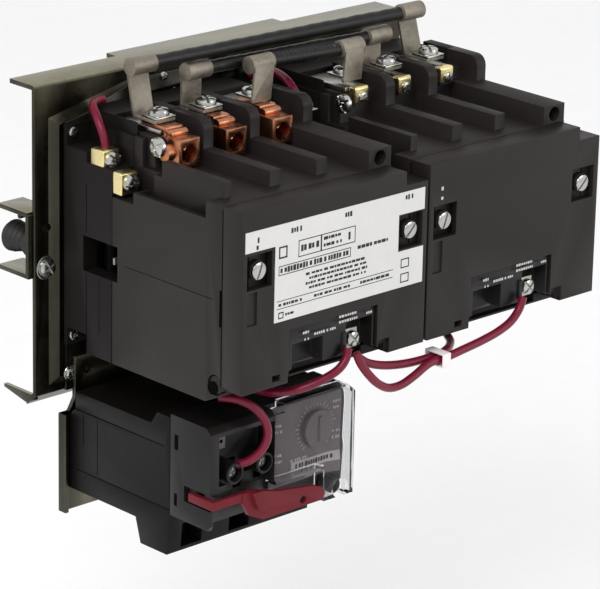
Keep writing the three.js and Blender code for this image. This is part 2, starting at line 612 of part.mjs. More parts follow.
const wireRoutes = {
  relay_wire: [
    [12.6, 92.6, -120.2], [18.6, 98.6, -121.2], [24.2, 103.2, -125.2], [28.4, 105.6, -132], [29.8, 105.2, -139.4],
    [27.8, 102.8, -146.2], [24.2, 99.4, -150.4], [21, 95.4, -152.4],
  ],
  coil_wire_left: [
    [60.6, 121.6, -101.2], [59.4, 122, -105], [56, 121.6, -109.2], [49, 119.2, -113.2], [40.6, 114, -117],
    [35, 106.4, -119.6], [32.6, 99, -120.6], [31.4, 91, -120.6],
  ],
  coil_jumper_front: [
    [65.6, 121.6, -104.6], [67.6, 122.6, -109.6], [73, 123.2, -116.6], [79, 123, -121.8], [85.6, 122.4, -125],
    [93, 122.2, -125.4], [101, 122.2, -123], [108.6, 122.2, -119.8], [114, 122.2, -118.9],
    [121, 122.2, -118.9], [130, 122.4, -117.8], [142, 122.6, -116.2], [153, 122.7, -114], [161, 122.6, -111],
    [166, 122.4, -106.6], [168.4, 122.4, -101.2],
  ],
  coil_jumper_rear: [
    [70.4, 118, -108.6], [76, 117.8, -112.4], [84, 117.8, -115.4], [93, 117.8, -117.4], [103, 117.8, -118.6],
    [112, 117.8, -118.9], [121, 117.6, -118.9], [128, 114.8, -119.2], [135, 110, -120.2], [141, 104.6, -120.6],
    [145, 98.6, -120.4],
  ],
  aux_wire_left: [
    [20, 7.2, -8.8], [14.6, 8.8, -8.4], [10.2, 12.2, -8.8], [7.8, 16.8, -10.8], [6.9, 20.6, -14.6],
    [6.9, 23.2, -19.2], [7.1, 24.8, -25],
  ],
  aux_wire_right: [
    [103.6, 10, -11.4], [105.2, 16, -8.1], [105.6, 22, -7.2], [103.6, 30, -7.1], [101.6, 38, -8.8],
    [101, 43, -12.5], [100.8, 45.5, -17],
  ],
};

function wires(unit) {
  for (const [name, points] of Object.entries(wireRoutes)) {
    piece(unit, name, wireSolid(points, Math.max(8, points.length * 2)), 'wireRed');
  }
  const band = sidePrism([[114.2, -122.1], [125.8, -122.1], [125.8, -115.7], [114.2, -115.7]], 115, 120);
  const opening = block(114, 121, 115, 125, -121.3, -116.5);
  piece(unit, 'wire_tie', band.subtract(opening), 'white');
}

// ---------------------------------------------------------------- assembly

const starter = new THREE.Group();

const plateFrame = new THREE.Group();
plateFrame.position.set(0, -STAND_OFF, 0);
starter.add(plateFrame);
backPlate(plateFrame);
contactorSheet(plateFrame);
interlock(plateFrame);

const leftUnit = contactor(starter, 'left', LEFT_X);
contactor(starter, 'right', LEFT_X + UNIT_PITCH);
POLES.forEach((_, index) => boxLug(leftUnit, index));

const OVER_TANG = PAD_Z + 2.1;
lineJumper(leftUnit, 'line_jumper_1', 30, { pole: POLES[0], lean: -4.3, topZ: 12.4 },
  { pole: UNIT_PITCH + POLES[2], lean: -6, topZ: 10.6 }, ROLL_RADIUS - 0.7, OVER_TANG, 14.5);
lineJumper(leftUnit, 'line_jumper_2', 30, { pole: POLES[1], lean: 0.2, topZ: 4.8 },
  { pole: UNIT_PITCH + POLES[1], lean: 0, topZ: 2.7 }, ROLL_RADIUS - 0.7, OVER_TANG, 14.5);
lineJumper(leftUnit, 'line_jumper_3', 45.6, { pole: POLES[2], lean: 1.9, topZ: 4.9 },
  { pole: UNIT_PITCH + POLES[0], lean: 1.3, topZ: 3.1 }, 0.7 - ROLL_RADIUS, OVER_TANG, 0.7);

relayPlate(leftUnit);
relayRear(leftUnit);
relayFront(leftUnit);
relayControls(leftUnit);
ratingLabel(leftUnit);
wires(leftUnit);

export default starter;
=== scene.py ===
"""Looks of the reversing magnetic motor starter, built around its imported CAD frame."""

import math
import random

import bmesh
import bpy
from mathutils import Matrix, Vector


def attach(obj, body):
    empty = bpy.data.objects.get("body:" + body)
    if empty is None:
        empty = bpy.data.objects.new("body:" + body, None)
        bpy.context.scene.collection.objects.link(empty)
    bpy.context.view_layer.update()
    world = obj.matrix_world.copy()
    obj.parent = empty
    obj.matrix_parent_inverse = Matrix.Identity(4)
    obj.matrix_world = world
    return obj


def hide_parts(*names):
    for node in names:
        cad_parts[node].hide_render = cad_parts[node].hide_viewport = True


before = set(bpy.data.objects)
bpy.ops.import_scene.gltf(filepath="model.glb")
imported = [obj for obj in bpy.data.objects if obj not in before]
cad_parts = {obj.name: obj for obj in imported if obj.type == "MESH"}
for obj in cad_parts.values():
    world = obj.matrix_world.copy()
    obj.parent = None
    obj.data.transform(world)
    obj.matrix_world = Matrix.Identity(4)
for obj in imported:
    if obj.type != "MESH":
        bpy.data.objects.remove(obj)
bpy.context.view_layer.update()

# ------------------------------------------------------------------ places
# A unit place is (u, depth, z) in millimetres: u from the unit's left side, depth forward
# from the back plate's front face. It becomes metres in the frame's own axes.

STAND_OFF = 23.5
LEFT_X = -97.8
UNIT_PITCH = 109.2
RIGHT_X = LEFT_X + UNIT_PITCH
POLES = (23.5, 50.5, 77.5)
COVER_FRONT = 120.0


def place(u, depth, z, x0=LEFT_X):
    return Vector(((x0 + u) / 1000, (-STAND_OFF - depth) / 1000, z / 1000))


# ------------------------------------------------------------------ shader groups

def new_group(name, inputs, outputs):
    group = bpy.data.node_groups.new(name, "ShaderNodeTree")
    for kind, label, default in inputs:
        socket = group.interface.new_socket(label, in_out="INPUT", socket_type="NodeSocket" + kind)
        if default is not None:
            socket.default_value = default
    for kind, label in outputs:
        group.interface.new_socket(label, in_out="OUTPUT", socket_type="NodeSocket" + kind)
    enter = group.nodes.new("NodeGroupInput")
    leave = group.nodes.new("NodeGroupOutput")
    return group, enter, leave


def add_node(tree, kind, **values):
    node = tree.nodes.new("ShaderNode" + kind)
    for key, value in values.items():
        setattr(node, key, value)
    return node


def set_inputs(node, **values):
    for key, value in values.items():
        node.inputs[key.replace("_", " ")].default_value = value
    return node


def noise(tree, vector, scale, detail=4.0, rough=0.55, distortion=0.0):
    node = add_node(tree, "TexNoise")
    set_inputs(node, Scale=scale, Detail=detail, Roughness=rough, Distortion=distortion)
    tree.links.new(vector, node.inputs["Vector"])
    return node.outputs["Fac"]


def ramp(tree, value, low, high, start=0.0, end=1.0):
    node = add_node(tree, "MapRange")
    set_inputs(node, From_Min=low, From_Max=high, To_Min=start, To_Max=end)
    tree.links.new(value, node.inputs["Value"])
    return node.outputs["Result"]


def mapped(tree, scale=(1, 1, 1)):
    coords = add_node(tree, "TexCoord")
    mapping = add_node(tree, "Mapping")
    mapping.inputs["Scale"].default_value = scale
    tree.links.new(coords.outputs["Object"], mapping.inputs["Vector"])
    return mapping.outputs["Vector"]


def mix_colour(tree, factor, first, second, blend="MIX"):
    node = add_node(tree, "Mix", data_type="RGBA", blend_type=blend)
    for label, value in (("Factor", factor), ("A", first), ("B", second)):
        socket = node.inputs[label]
        if hasattr(value, "is_output"):
            tree.links.new(value, socket)
        else:
            socket.default_value = value
    return node.outputs["Result"]


def surface_group():
    """Colour mottling, roughness variation, duller dusty upper faces and a fine grain bump."""
    group, enter, leave = new_group(
        "worn_surface",
        [
            ("Vector", "Vector", None), ("Color", "Color", (0.5, 0.5, 0.5, 1)),
            ("Float", "Mottle", 0.15), ("Float", "Roughness", 0.5), ("Float", "Rough Variation", 0.1),
            ("Float", "Grain Scale", 900.0), ("Float", "Grain", 0.1), ("Float", "Dust", 0.1),
            ("Float", "Shine", 0.5),
        ],
        [("Color", "Color"), ("Float", "Roughness"), ("Vector", "Normal"), ("Float", "Shine")],
    )
    links = group.links
    broad = noise(group, enter.outputs["Vector"], 45.0, 5.0)
    fine = noise(group, enter.outputs["Vector"], 420.0, 6.0)
    grain_node = add_node(group, "TexNoise")
    set_inputs(grain_node, Detail=3.0, Roughness=0.6)
    links.new(enter.outputs["Vector"], grain_node.inputs["Vector"])
    links.new(enter.outputs["Grain Scale"], grain_node.inputs["Scale"])

    both = add_node(group, "Math", operation="MULTIPLY_ADD")
    links.new(fine, both.inputs[0])
    both.inputs[1].default_value = 0.5
    links.new(broad, both.inputs[2])
    spread = ramp(group, both.outputs[0], 0.45, 1.05, -1.0, 1.0)
    amount = add_node(group, "Math", operation="MULTIPLY_ADD")
    links.new(spread, amount.inputs[0])
    links.new(enter.outputs["Mottle"], amount.inputs[1])
    amount.inputs[2].default_value = 1.0
    scaled = add_node(group, "VectorMath", operation="SCALE")
    links.new(enter.outputs["Color"], scaled.inputs["Vector"])
    links.new(amount.outputs[0], scaled.inputs["Scale"])

    geometry = add_node(group, "NewGeometry")
    split = add_node(group, "SeparateXYZ")
    links.new(geometry.outputs["Normal"], split.inputs["Vector"])
    facing_up = ramp(group, split.outputs["Z"], 0.3, 1.0)
    dust_amount = add_node(group, "Math", operation="MULTIPLY")
    links.new(facing_up, dust_amount.inputs[0])
    links.new(enter.outputs["Dust"], dust_amount.inputs[1])
    dust_mask = add_node(group, "Math", operation="MULTIPLY")
    links.new(dust_amount.outputs[0], dust_mask.inputs[0])
    links.new(ramp(group, fine, 0.3, 0.7), dust_mask.inputs[1])
    coloured = mix_colour(group, dust_mask.outputs[0], scaled.outputs["Vector"], (0.2, 0.17, 0.14, 1))
    links.new(coloured, leave.inputs["Color"])

    dulled = ramp(group, split.outputs["Z"], 0.3, 1.0, 1.0, 0.42)
    shine = add_node(group, "Math", operation="MULTIPLY")
    links.new(dulled, shine.inputs[0])
    links.new(enter.outputs["Shine"], shine.inputs[1])
    links.new(shine.outputs[0], leave.inputs["Shine"])

    vary = add_node(group, "Math", operation="MULTIPLY_ADD", use_clamp=True)
    links.new(spread, vary.inputs[0])
    links.new(enter.outputs["Rough Variation"], vary.inputs[1])
    links.new(enter.outputs["Roughness"], vary.inputs[2])
    links.new(vary.outputs[0], leave.inputs["Roughness"])

    bump = add_node(group, "Bump")
    bump.inputs["Distance"].default_value = 0.0002
    links.new(enter.outputs["Grain"], bump.inputs["Strength"])
    links.new(grain_node.outputs["Fac"], bump.inputs["Height"])
    links.new(bump.outputs["Normal"], leave.inputs["Normal"])
    return group


WORN = surface_group()


def surface(name, colour, mottle=0.15, rough=0.5, vary=0.08, grain_scale=900.0, grain=0.1, dust=0.1,
            metallic=0.0, stretch=(1, 1, 1), shine=0.5, **extra):
    """A material whose colour, roughness, shine and normal all come from the worn_surface group."""
    material = bpy.data.materials.new(name)
    material.use_nodes = True
    tree = material.node_tree
    shader = tree.nodes["Principled BSDF"]
    group = add_node(tree, "Group", node_tree=WORN)
    tree.links.new(mapped(tree, stretch), group.inputs["Vector"])
    set_inputs(group, Color=(*colour, 1), Mottle=mottle, Roughness=rough, Rough_Variation=vary,
               Grain_Scale=grain_scale, Grain=grain, Dust=dust, Shine=shine)
    tree.links.new(group.outputs["Color"], shader.inputs["Base Color"])
    tree.links.new(group.outputs["Roughness"], shader.inputs["Roughness"])
    tree.links.new(group.outputs["Normal"], shader.inputs["Normal"])
    tree.links.new(group.outputs["Shine"], shader.inputs["Specular IOR Level"])
    shader.inputs["Metallic"].default_value = metallic
    for key, value in extra.items():
        shader.inputs[key.replace("_", " ")].default_value = value
    material.diffuse_color = (*colour, 1)
    return material


def zinc_with_painted_shade(name, colour, least, most):
    """Zinc with painted light: bright on its upper and rear faces, and darkened in soft upright streaks
    elsewhere as painted shade and painted dark reflection.
    """
    material = surface(name, colour, 0.34, 0.32, 0.08, 160, 0.05, 0.03, 1.0)
    tree = material.node_tree
    base = tree.nodes["Principled BSDF"].inputs["Base Color"]
    bright = base.links[0].from_socket
    split = add_node(tree, "SeparateXYZ")
    tree.links.new(add_node(tree, "NewGeometry").outputs["Normal"], split.inputs["Vector"])
    # Upper and rear faces keep the bright colour: light painted by which way a face looks.
    painted_lit_faces = add_node(tree, "Math", operation="MAXIMUM")
    tree.links.new(ramp(tree, split.outputs["Z"], 0.3, 0.8), painted_lit_faces.inputs[0])
    tree.links.new(ramp(tree, split.outputs["Y"], 0.3, 0.8, 0.0, 0.8), painted_lit_faces.inputs[1])
    keep = add_node(tree, "Math", operation="MAXIMUM")
    tree.links.new(painted_lit_faces.outputs[0], keep.inputs[0])
    # Upright streaks of painted dark reflection and shade on the standing faces.
    streaks = noise(tree, mapped(tree, (1, 1, 0.12)), 45.0, 2.0)
    tree.links.new(ramp(tree, streaks, 0.38, 0.72, least, most), keep.inputs[1])
    # The near-black colour is the painted shade and dark reflection mixed over the zinc.
    tree.links.new(mix_colour(tree, keep.outputs[0], (0.008, 0.0075, 0.008, 1), bright), base)
    return material


MATERIALS = {
    # The three zinc materials below paint shade and dark reflection into their colour on standing faces.
    "zinc": zinc_with_painted_shade("zinc_passivate", (0.215, 0.203, 0.138), 0.10, 0.45),
    # The sheet's colour is about half the plate's: painted shade for where it sits between the units.
    "sheet": zinc_with_painted_shade("shaded_sheet", (0.105, 0.104, 0.088), 0.10, 0.75),
    "relay_plate": zinc_with_painted_shade("relay_plate_zinc", (0.15, 0.143, 0.103), 0.22, 0.95),
    "steel": surface("plain_steel", (0.30, 0.30, 0.30), 0.15, 0.38, 0.1, 1200, 0.12, 0.05, 0.9),
    "silver": surface("plated_screw", (0.44, 0.44, 0.42), 0.18, 0.22, 0.12, 900, 0.14, 0.0, 1.0),
    "black": surface("moulded_phenolic", (0.0122, 0.0090, 0.0087), 0.14, 0.47, 0.08, 1500, 0.10, 0.02,
                     shine=0.24),
    "base": surface("moulded_base", (0.0054, 0.0038, 0.0036), 0.15, 0.48, 0.08, 1500, 0.10, 0.02,
                    shine=0.17),
    "gloss": surface("gloss_plastic", (0.0045, 0.0038, 0.0038), 0.15, 0.34, 0.08, 1500, 0.06, 0.02,
                     shine=0.30),
    "relay": surface("relay_plastic", (0.0045, 0.0036, 0.0036), 0.15, 0.40, 0.08, 1500, 0.08, 0.02,
                     shine=0.30),
    # A darker, duller copy of the relay plastic: painted shade on the relay's rear housing.
    "relay_rear": surface("relay_rear_shaded_plastic", (0.0040, 0.0032, 0.0032), 0.15, 0.42, 0.08, 1500, 0.08,
                          0.02, shine=0.13),
    "seam": surface("seam_shadow", (0.0012, 0.0010, 0.0010), 0.1, 0.7, 0.05, 1500, 0.05, 0.0, shine=0.03),
    "boot": surface("rubber_boot", (0.013, 0.013, 0.013), 0.2, 0.55, 0.08, 1500, 0.15, 0.03, shine=0.4),
    "core": surface("laminations", (0.24, 0.24, 0.25), 0.2, 0.45, 0.1, 900, 0.2, 0.0, 0.9, (1, 30, 1)),
    "contact": surface("silver_contact", (0.40, 0.385, 0.35), 0.2, 0.30, 0.1, 1200, 0.1, 0.0, 1.0),
    "copper": surface("copper", (0.46, 0.195, 0.105), 0.34, 0.26, 0.12, 500, 0.3, 0.0, 1.0),
    "brass": surface("brass", (0.78, 0.66, 0.34), 0.2, 0.26, 0.1, 900, 0.12, 0.0, 1.0),
    "tinned": surface("tinned_copper", (0.24, 0.213, 0.172), 0.45, 0.50, 0.14, 900, 0.9, 0.0, 0.75),
    "label": surface("label_stock", (0.565, 0.56, 0.555), 0.04, 0.55, 0.05, 1500, 0.05, 0.0, shine=0.3),
    "ink": surface("label_ink", (0.022, 0.020, 0.020), 0.1, 0.55, 0.05, 1500, 0.05, 0.0, shine=0.2),
    "panel": surface("grey_panel", (0.150, 0.124, 0.132), 0.1, 0.45, 0.06, 1500, 0.05, 0.0, shine=0.3),
    "band": surface("panel_band", (0.46, 0.42, 0.41), 0.12, 0.5, 0.05, 1500, 0.05, 0.0),
    "mark": surface("printed_mark", (0.45, 0.42, 0.42), 0.2, 0.55, 0.05, 1500, 0.05, 0.0),
    "red": surface("reset_red", (0.118, 0.010, 0.016), 0.2, 0.42, 0.08, 1200, 0.1, 0.0, shine=0.14),
    "wire": surface("wine_wire", (0.135, 0.004, 0.021), 0.2, 0.3, 0.08, 900, 0.08, 0.0, shine=0.3),
    "white": surface("white_nylon", (0.74, 0.68, 0.69), 0.1, 0.45, 0.06, 900, 0.1, 0.0),
    "sleeve": surface("black_sleeve", (0.005, 0.005, 0.005), 0.2, 0.40, 0.1, 700, 0.35, 0.03, shine=0.34),
    "clear": surface("clear_cover", (0.80, 0.80, 0.81), 0.02, 0.06, 0.03, 700, 0.03, 0.0,
                     Transmission_Weight=1.0, IOR=1.22),
}


# ------------------------------------------------------------------ mesh helpers

def finish_mesh(mesh, angle=32):
    for polygon in mesh.polygons:
        polygon.use_smooth = True
    mesh.set_sharp_from_angle(angle=math.radians(angle))


def make_object(name, bm, material, body="frame"):
    bmesh.ops.recalc_face_normals(bm, faces=bm.faces)
    mesh = bpy.data.meshes.new(name)
    bm.to_mesh(mesh)
    bm.free()
    mesh.materials.append(MATERIALS[material])
    finish_mesh(mesh)
    obj = bpy.data.objects.new(name, mesh)
    bpy.context.scene.collection.objects.link(obj)
    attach(obj, body)
    return obj


def bevel_sharp(bm, width, segments=2, least=30):
    """Rounds the edges sharper than `least` degrees by `width` millimetres."""
    edges = [e for e in bm.edges if len(e.link_faces) == 2
             and e.calc_face_angle(0.0) > math.radians(least)]
    if edges:
        bmesh.ops.bevel(bm, geom=edges, offset=width / 1000, offset_type="OFFSET", segments=segments,
                        profile=0.5, affect="EDGES", clamp_overlap=True, material=-1)


def refined(node, material, width=0.35, segments=2, body="frame"):
    """The CAD node's own shape with softened edges, shown in place of the node."""
    bm = bmesh.new()
    bm.from_mesh(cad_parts[node].data)
    bmesh.ops.remove_doubles(bm, verts=bm.verts, dist=1e-6)
    bmesh.ops.dissolve_limit(bm, angle_limit=math.radians(1), verts=bm.verts, edges=bm.edges)
    if width:
        bevel_sharp(bm, width, segments)
    obj = make_object(node + "_shown", bm, material, body)
    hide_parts(node)
    return obj


# ------------------------------------------------------------------ every node, softened

for side in ("left", "right"):
    refined(side + "_rear_base", "base", 0.4)
    refined(side + "_contact_housing", "black", 0.5)
    refined(side + "_front_cover", "black", 0.5)
    refined(side + "_magnet_core", "core", 0.2, 1)
    refined(side + "_coil", "gloss", 0.4)
    carriage = side + "_carriage"
    refined(side + "_armature", "core", 0.2, 1, carriage)
    refined(side + "_contact_carrier", "gloss", 0.4, 2, carriage)
    for i in (1, 2, 3):
        refined(f"{side}_moving_contact_{i}", "contact", 0.25, 2, carriage)
        refined(f"{side}_line_terminal_{i}", "contact", 0.25)
        refined(f"{side}_load_terminal_{i}", "contact", 0.25)
for i in (1, 2, 3):
    refined(f"line_lug_{i}", "copper", 0.4)
    refined(f"line_jumper_{i}", "tinned", 0.3)
refined("back_plate", "zinc", 0.3)
refined("contactor_sheet", "sheet", 0.25)
refined("interlock_bracket", "zinc", 0.3)
refined("interlock_boot", "boot", 0.3)
refined("interlock_rocker", "steel", 0.3, 2, "rocker")
refined("rocker_pivot", "zinc", 0.3)
refined("relay_mounting_plate", "relay_plate", 0.3)
refined("relay_rear_housing", "relay_rear", 0.5)
refined("relay_front_housing", "relay", 0.5)
refined("relay_face_panel", "panel", 0.15)
refined("current_dial", "panel", 0.3, 2, "dial")
refined("test_button", "gloss", 0.5, 3, "tester")
refined("reset_lever", "red", 0.5, 3, "reset")
refined("relay_clear_cover", "clear", 0.4, 2, "cover")
refined("rating_label", "label", 0.0)
refined("wire_tie", "white", 0.9, 3)


# ------------------------------------------------------------------ wires

WIRE_DIAMETER = 0.0038

# Each wire's length in metres, then the (u, depth, z) points that its centre line passes through.
WIRES = {
    "relay_wire": (0.0525, (
        (12.6, 92.6, -120.2), (18.6, 98.6, -121.2), (24.2, 103.2, -125.2), (28.4, 105.6, -132),
        (29.8, 105.2, -139.4), (27.8, 102.8, -146.2), (24.2, 99.4, -150.4), (21, 95.4, -152.4))),
    "coil_wire_left": (0.0544, (
        (60.6, 121.6, -101.2), (59.4, 122, -105), (56, 121.6, -109.2), (49, 119.2, -113.2),
        (40.6, 114, -117), (35, 106.4, -119.6), (32.6, 99, -120.6), (31.4, 91, -120.6))),
    "coil_jumper_front": (0.1199, (
        (65.6, 121.6, -104.6), (67.6, 122.6, -109.6), (73, 123.2, -116.6), (79, 123, -121.8),
        (85.6, 122.4, -125), (93, 122.2, -125.4), (101, 122.2, -123), (108.6, 122.2, -119.8),
        (114, 122.2, -118.9), (121, 122.2, -118.9), (130, 122.4, -117.8), (142, 122.6, -116.2),
        (153, 122.7, -114), (161, 122.6, -111), (166, 122.4, -106.6), (168.4, 122.4, -101.2))),
    "coil_jumper_rear": (0.0841, (
        (70.4, 118, -108.6), (76, 117.8, -112.4), (84, 117.8, -115.4), (93, 117.8, -117.4),
        (103, 117.8, -118.6), (112, 117.8, -118.9), (121, 117.6, -118.9), (128, 114.8, -119.2),
        (135, 110, -120.2), (141, 104.6, -120.6), (145, 98.6, -120.4))),
    "aux_wire_left": (0.0337, (
        (20, 7.2, -8.8), (14.6, 8.8, -8.4), (10.2, 12.2, -8.8), (7.8, 16.8, -10.8),
        (6.9, 20.6, -14.6), (6.9, 23.2, -19.2), (7.1, 24.8, -25))),
    "aux_wire_right": (0.0414, (
        (103.6, 10, -11.4), (105.2, 16, -8.1), (105.6, 22, -7.2), (103.6, 30, -7.1),
        (101.6, 38, -8.8), (101, 43, -12.5), (100.8, 45.5, -17))),
}


def smooth_route(points, steps=10):
    """A centripetal Catmull-Rom line through the points."""
    ends = [2 * points[0] - points[1]] + points + [2 * points[-1] - points[-2]]
    line = []
    for p0, p1, p2, p3 in zip(ends, ends[1:], ends[2:], ends[3:]):
        before, along, after = ((a - b).length ** 0.5 for a, b in ((p1, p0), (p2, p1), (p3, p2)))
        leave = ((p1 - p0) / before - (p2 - p0) / (before + along) + (p2 - p1) / along) * along
        arrive = ((p2 - p1) / along - (p3 - p1) / (along + after) + (p3 - p2) / after) * along
        for i in range(steps):
            t = i / steps
            line.append((2 * t**3 - 3 * t**2 + 1) * p1 + (t**3 - 2 * t**2 + t) * leave
                        + (3 * t**2 - 2 * t**3) * p2 + (t**3 - t**2) * arrive)
    return line + [points[-1]]


def tube(name, line, radius, material, sides=16):
    bm = bmesh.new()
    heading = (line[1] - line[0]).normalized()
    out = heading.orthogonal().normalized()
    rings = []
    for i, centre in enumerate(line):
        new_heading = (line[min(i + 1, len(line) - 1)] - line[max(i - 1, 0)]).normalized()
        out = heading.rotation_difference(new_heading) @ out
        heading = new_heading
        over = heading.cross(out)
        angles = [math.tau * k / sides for k in range(sides)]
        spokes = [math.cos(a) * out + math.sin(a) * over for a in angles]
        rings.append([bm.verts.new(centre + radius * spoke) for spoke in spokes])
    for first, second in zip(rings, rings[1:]):
        for k in range(sides):
            bm.faces.new((first[k], first[k - 1], second[k - 1], second[k]))
    bm.faces.new(rings[0])
    bm.faces.new(list(reversed(rings[-1])))
    return make_object(name, bm, material)


for name, (length, points) in WIRES.items():
    line = smooth_route([place(*point) for point in points])
    wire = tube(name + "_shown", line, WIRE_DIAMETER / 2, "wire")
    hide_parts(name)


# ------------------------------------------------------------------ parts drawn in detail

def box_into(bm, u0, u1, d0, d1, z0, z1, x0=LEFT_X, matrix=None):
    low, high = place(u0, d1, z0, x0), place(u1, d0, z1, x0)
    centre, size = (low + high) / 2, high - low
    scale = Matrix.Diagonal((*size, 1))
    made = bmesh.ops.create_cube(bm, size=1, matrix=Matrix.Translation(centre) @ scale)
    if matrix is not None:
        bmesh.ops.transform(bm, matrix=matrix, verts=made["verts"])
    return made["verts"]


def solid_box(name, material, u0, u1, d0, d1, z0, z1, x0=LEFT_X, soften=0.3, body="frame", segments=2):
    bm = bmesh.new()
    box_into(bm, u0, u1, d0, d1, z0, z1, x0)
    if soften:
        bevel_sharp(bm, soften, segments)
    return make_object(name, bm, material, body)


def facing(direction):
    """The turn that takes +Z to `direction`."""
    return Vector((0, 0, 1)).rotation_difference(Vector(direction)).to_matrix().to_4x4()


FORWARD, UPWARD, LEFTWARD, RIGHTWARD = (0, -1, 0), (0, 0, 1), (-1, 0, 0), (1, 0, 0)


def turned_into(bm, profile, at, direction, segments=32):
    """A turned shape about `direction` through `at`; profile is [radius, height] in mm, axis to axis."""
    matrix = Matrix.Translation(at) @ facing(direction)
    points = [bm.verts.new(matrix @ Vector((r / 1000, 0, h / 1000))) for r, h in profile]
    edges = [bm.edges.new((a, b)) for a, b in zip(points, points[1:])]
    bmesh.ops.spin(bm, geom=points + edges, cent=at, axis=matrix.to_3x3() @ Vector((0, 0, 1)),
                   angle=math.tau, steps=segments, use_merge=True)
    bmesh.ops.remove_doubles(bm, verts=bm.verts, dist=1e-7)


def turned(name, material, profile, at, direction, segments=32, body="frame"):
    bm = bmesh.new()
    turned_into(bm, profile, at, direction, segments)
    return make_object(name, bm, material, body)


def screw(name, at, direction, radius, slot_turn=20.0, washer=0.0, cross=False, material="silver", tall=1.0):
    """A pan-head screw with a slot (or a combination cross) and, if wanted, a round washer."""
    bm = bmesh.new()
    h = radius * 0.45 * tall
    profile = [(0, -0.6), (radius, -0.6), (radius, h * 0.35), (radius * 0.93, h * 0.7),
               (radius * 0.72, h * 0.94), (radius * 0.4, h), (0, h)]
    turned_into(bm, profile, at, direction, 36)
    head = make_object(name, bm, material)
    turns = [slot_turn, slot_turn + 90] if cross else [slot_turn]
    for index, turn in enumerate(turns):
        cutter_bm = bmesh.new()
        local = Matrix.Translation(at) @ facing(direction) @ Matrix.Rotation(math.radians(turn), 4, "Z")
        scale = Matrix.Diagonal((radius * 2.2 / 1000, radius * 0.26 / 1000, h * 1.2 / 1000, 1))
        bmesh.ops.create_cube(cutter_bm, size=1,
                              matrix=local @ Matrix.Translation((0, 0, h * 1.02 / 1000)) @ scale)
        carve(head, cutter_bm)
    finish_mesh(head.data)
    if washer:
        rim = [(0, -0.9), (washer, -0.9), (washer, -0.35), (washer * 0.96, -0.15), (0, -0.15)]
        turned(name + "_washer", material, rim, at, direction)
    return head


def carve(obj, cutter_bm):
    """Subtracts a bmesh shape from an object's mesh for good."""
    bmesh.ops.recalc_face_normals(cutter_bm, faces=cutter_bm.faces)
    mesh = bpy.data.meshes.new("cutter")
    cutter_bm.to_mesh(mesh)
    cutter_bm.free()
    cutter = bpy.data.objects.new("cutter", mesh)
    bpy.context.scene.collection.objects.link(cutter)
    modifier = obj.modifiers.new("carve", "BOOLEAN")
    modifier.operation = "DIFFERENCE"
    modifier.solver = "EXACT"
    modifier.object = cutter
    graph = bpy.context.evaluated_depsgraph_get()
    carved = bpy.data.meshes.new_from_object(obj.evaluated_get(graph))
    obj.modifiers.clear()
    old = obj.data
    obj.data = carved
    bpy.data.meshes.remove(old)
    bpy.data.objects.remove(cutter)
    bpy.data.meshes.remove(mesh)


# Cover screws of both contactors.
for side, x0 in (("left", LEFT_X), ("right", RIGHT_X)):
    for i, u in enumerate((9.9, 98.1)):
        screw(f"{side}_cover_screw_{i + 1}", place(u, 118.9, -56.2, x0), FORWARD, 3.95, 70 - 25 * i, tall=0.8)

# Line terminal screws: pan head on a square clamp, over every pad.
for side, x0 in (("left", LEFT_X), ("right", RIGHT_X)):
    for i, u in enumerate(POLES):
        turn = 25 + 37 * i + (50 if side == "right" else 0)
        solid_box(f"{side}_line_clamp_{i + 1}", "silver", u - 5.3, u + 5.3, 34.6, 45.2, -9.8, -8.8, x0, 0.3)
        screw(f"{side}_line_screw_{i + 1}", place(u, 40, -8.6, x0), UPWARD, 4.7, turn, 0, True, tall=1.3)

# The right contactor's brass pressure pieces, each with a screw in its front.
for i, u in enumerate(POLES):
    bm = bmesh.new()
    box_into(bm, u - 4.2, u + 4.2, 47.6, 53.0, -20.6, -12.6, RIGHT_X)
    bevel_sharp(bm, 1.2, 4)
    make_object(f"right_pressure_piece_{i + 1}", bm, "brass")
    screw(f"right_pressure_screw_{i + 1}", place(u, 53.1, -17.4, RIGHT_X), FORWARD, 2.4, 15 + 40 * i)

# Side clamp screw of each unit's first pole.
for side, x0 in (("left", LEFT_X), ("right", RIGHT_X)):
    screw(f"{side}_side_screw", place(13.6, 51.4, -19.2, x0), LEFTWARD, 4.4, 35, 0, True, tall=1.2)

# Auxiliary terminals on the left contactor's upper left edge: a brass block with a screw in its front.
for i, (depth, z) in enumerate(((26.2, -28.2), (38.2, -35.6))):
    solid_box(f"aux_block_{i + 1}", "brass", 0.4, 9.6, depth - 4.0, depth + 4.6, z - 5.0, z + 4.8, soften=0.7,
              segments=3)
    screw(f"aux_screw_{i + 1}", place(5.4, depth + 5.0, z + 0.2), FORWARD, 3.9, 40 + 60 * i, 0, True,
          tall=1.4)

# Coil terminals: a screw on a pressure plate, with a tab beside it.
for side, x0 in (("left", LEFT_X), ("right", RIGHT_X)):
    screw(f"{side}_coil_screw", place(66.6, 117.4, -99.2, x0), FORWARD, 3.6, 40, 0, True, tall=1.3)
    solid_box(f"{side}_coil_plate", "contact", 62.9, 70.6, 115.6, 116.6, -103.8, -94.8, x0, 0.25)
    solid_box(f"{side}_coil_tab", "silver", 59.6, 61.4, 113.6, 119.4, -103.0, -94.8, x0, 0.3)

